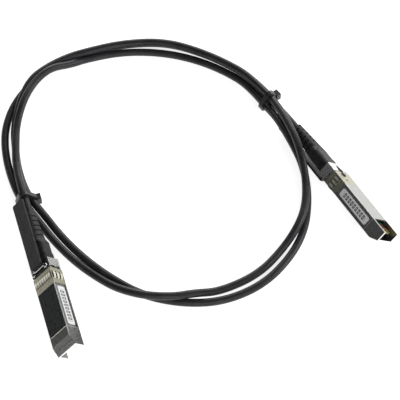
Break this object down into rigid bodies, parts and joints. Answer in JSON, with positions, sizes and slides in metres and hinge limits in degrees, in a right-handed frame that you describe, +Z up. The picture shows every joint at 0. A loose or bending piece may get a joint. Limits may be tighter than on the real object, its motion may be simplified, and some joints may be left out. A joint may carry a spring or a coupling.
{
  "type": "direct attach copper cable",
  "caption": "Direct attach copper cable: pluggable metal plugs with pull tabs and strain reliefs on a tied coil of black twin-axial cable.",
  "frame": {"origin": "centre of the floor rectangle that the two plugs cover, on the surface that the cable lies on", "axes": "+Z up from the surface, +Y from the plugs' mating ends towards the far side of the coil, +X from plug A to plug B"},
  "size_m": [0.2114, 0.2089, 0.0156],
  "materials": {
    "shell": "satin nickel plated casting",
    "collar": "satin plated spring strip, warm grey",
    "rivet": "satin",
    "card": "solder resist over glass laminate",
    "pads": "gold plated",
    "chip": "moulded",
    "capacitors": "fired",
    "cores": "extruded insulation",
    "jacket": "satin extruded jacket",
    "ferrule": "crimped",
    "boot": "fine moulded grain",
    "side_label": "satin film with plain dark marks",
    "top_label": "dark film with plain pale marks",
    "slider": "bright stamped sheet",
    "bridge": "black oxide",
    "pull_wire": "drawn wire",
    "tab": "fine moulded grain",
    "spring": "spring wire",
    "tie": "moulded nylon"
  },
  "bodies": {
    "cable_assembly": {"base_shell_a": "shell", "base_shell_b": "shell", "boot_a": "boot", "boot_b": "boot", "cable": "jacket", "cable_ferrule_a": "ferrule", "cable_ferrule_b": "ferrule", "cable_tail_a": "jacket", "cable_tail_b": "jacket", "card_capacitors_a": "capacitors", "card_capacitors_b": "capacitors", "collar_rivet_a": "rivet", "collar_rivet_b": "rivet", "contact_pads_a": "pads", "contact_pads_b": "pads", "emi_spring_collar_a": "collar", "emi_spring_collar_b": "collar", "memory_chip_a": "chip", "memory_chip_b": "chip", "paddle_card_a": "card", "paddle_card_b": "card", "return_springs_a": "spring", "return_springs_b": "spring", "side_label_a": "side_label", "side_label_b": "side_label", "tie_a": "tie", "tie_b": "tie", "top_label_a": "top_label", "top_label_b": "top_label", "top_shell_a": "shell", "top_shell_b": "shell", "wire_pairs_a": "cores", "wire_pairs_b": "cores"},
    "release_a": {"release_slider_a": "slider", "slider_bridge_a": "bridge", "pull_wire_a": "pull_wire", "pull_tab_a": "tab"},
    "release_b": {"release_slider_b": "slider", "slider_bridge_b": "bridge", "pull_wire_b": "pull_wire", "pull_tab_b": "tab"}
  },
  "joints": [
    {"name": "release_slide_a", "type": "slide", "parent": "cable_assembly", "child": "release_a", "axis": [-0.2924, 0.9563, 0], "range_m": [0, 0.002], "stiffness_N_per_m": 1200, "springref_m": -0.0005, "deforming": ["return_springs_a"]},
    {"name": "release_slide_b", "type": "slide", "parent": "cable_assembly", "child": "release_b", "axis": [-0.515, 0.8572, 0], "range_m": [0, 0.002], "stiffness_N_per_m": 1200, "springref_m": -0.0005, "deforming": ["return_springs_b"]}
  ]
}
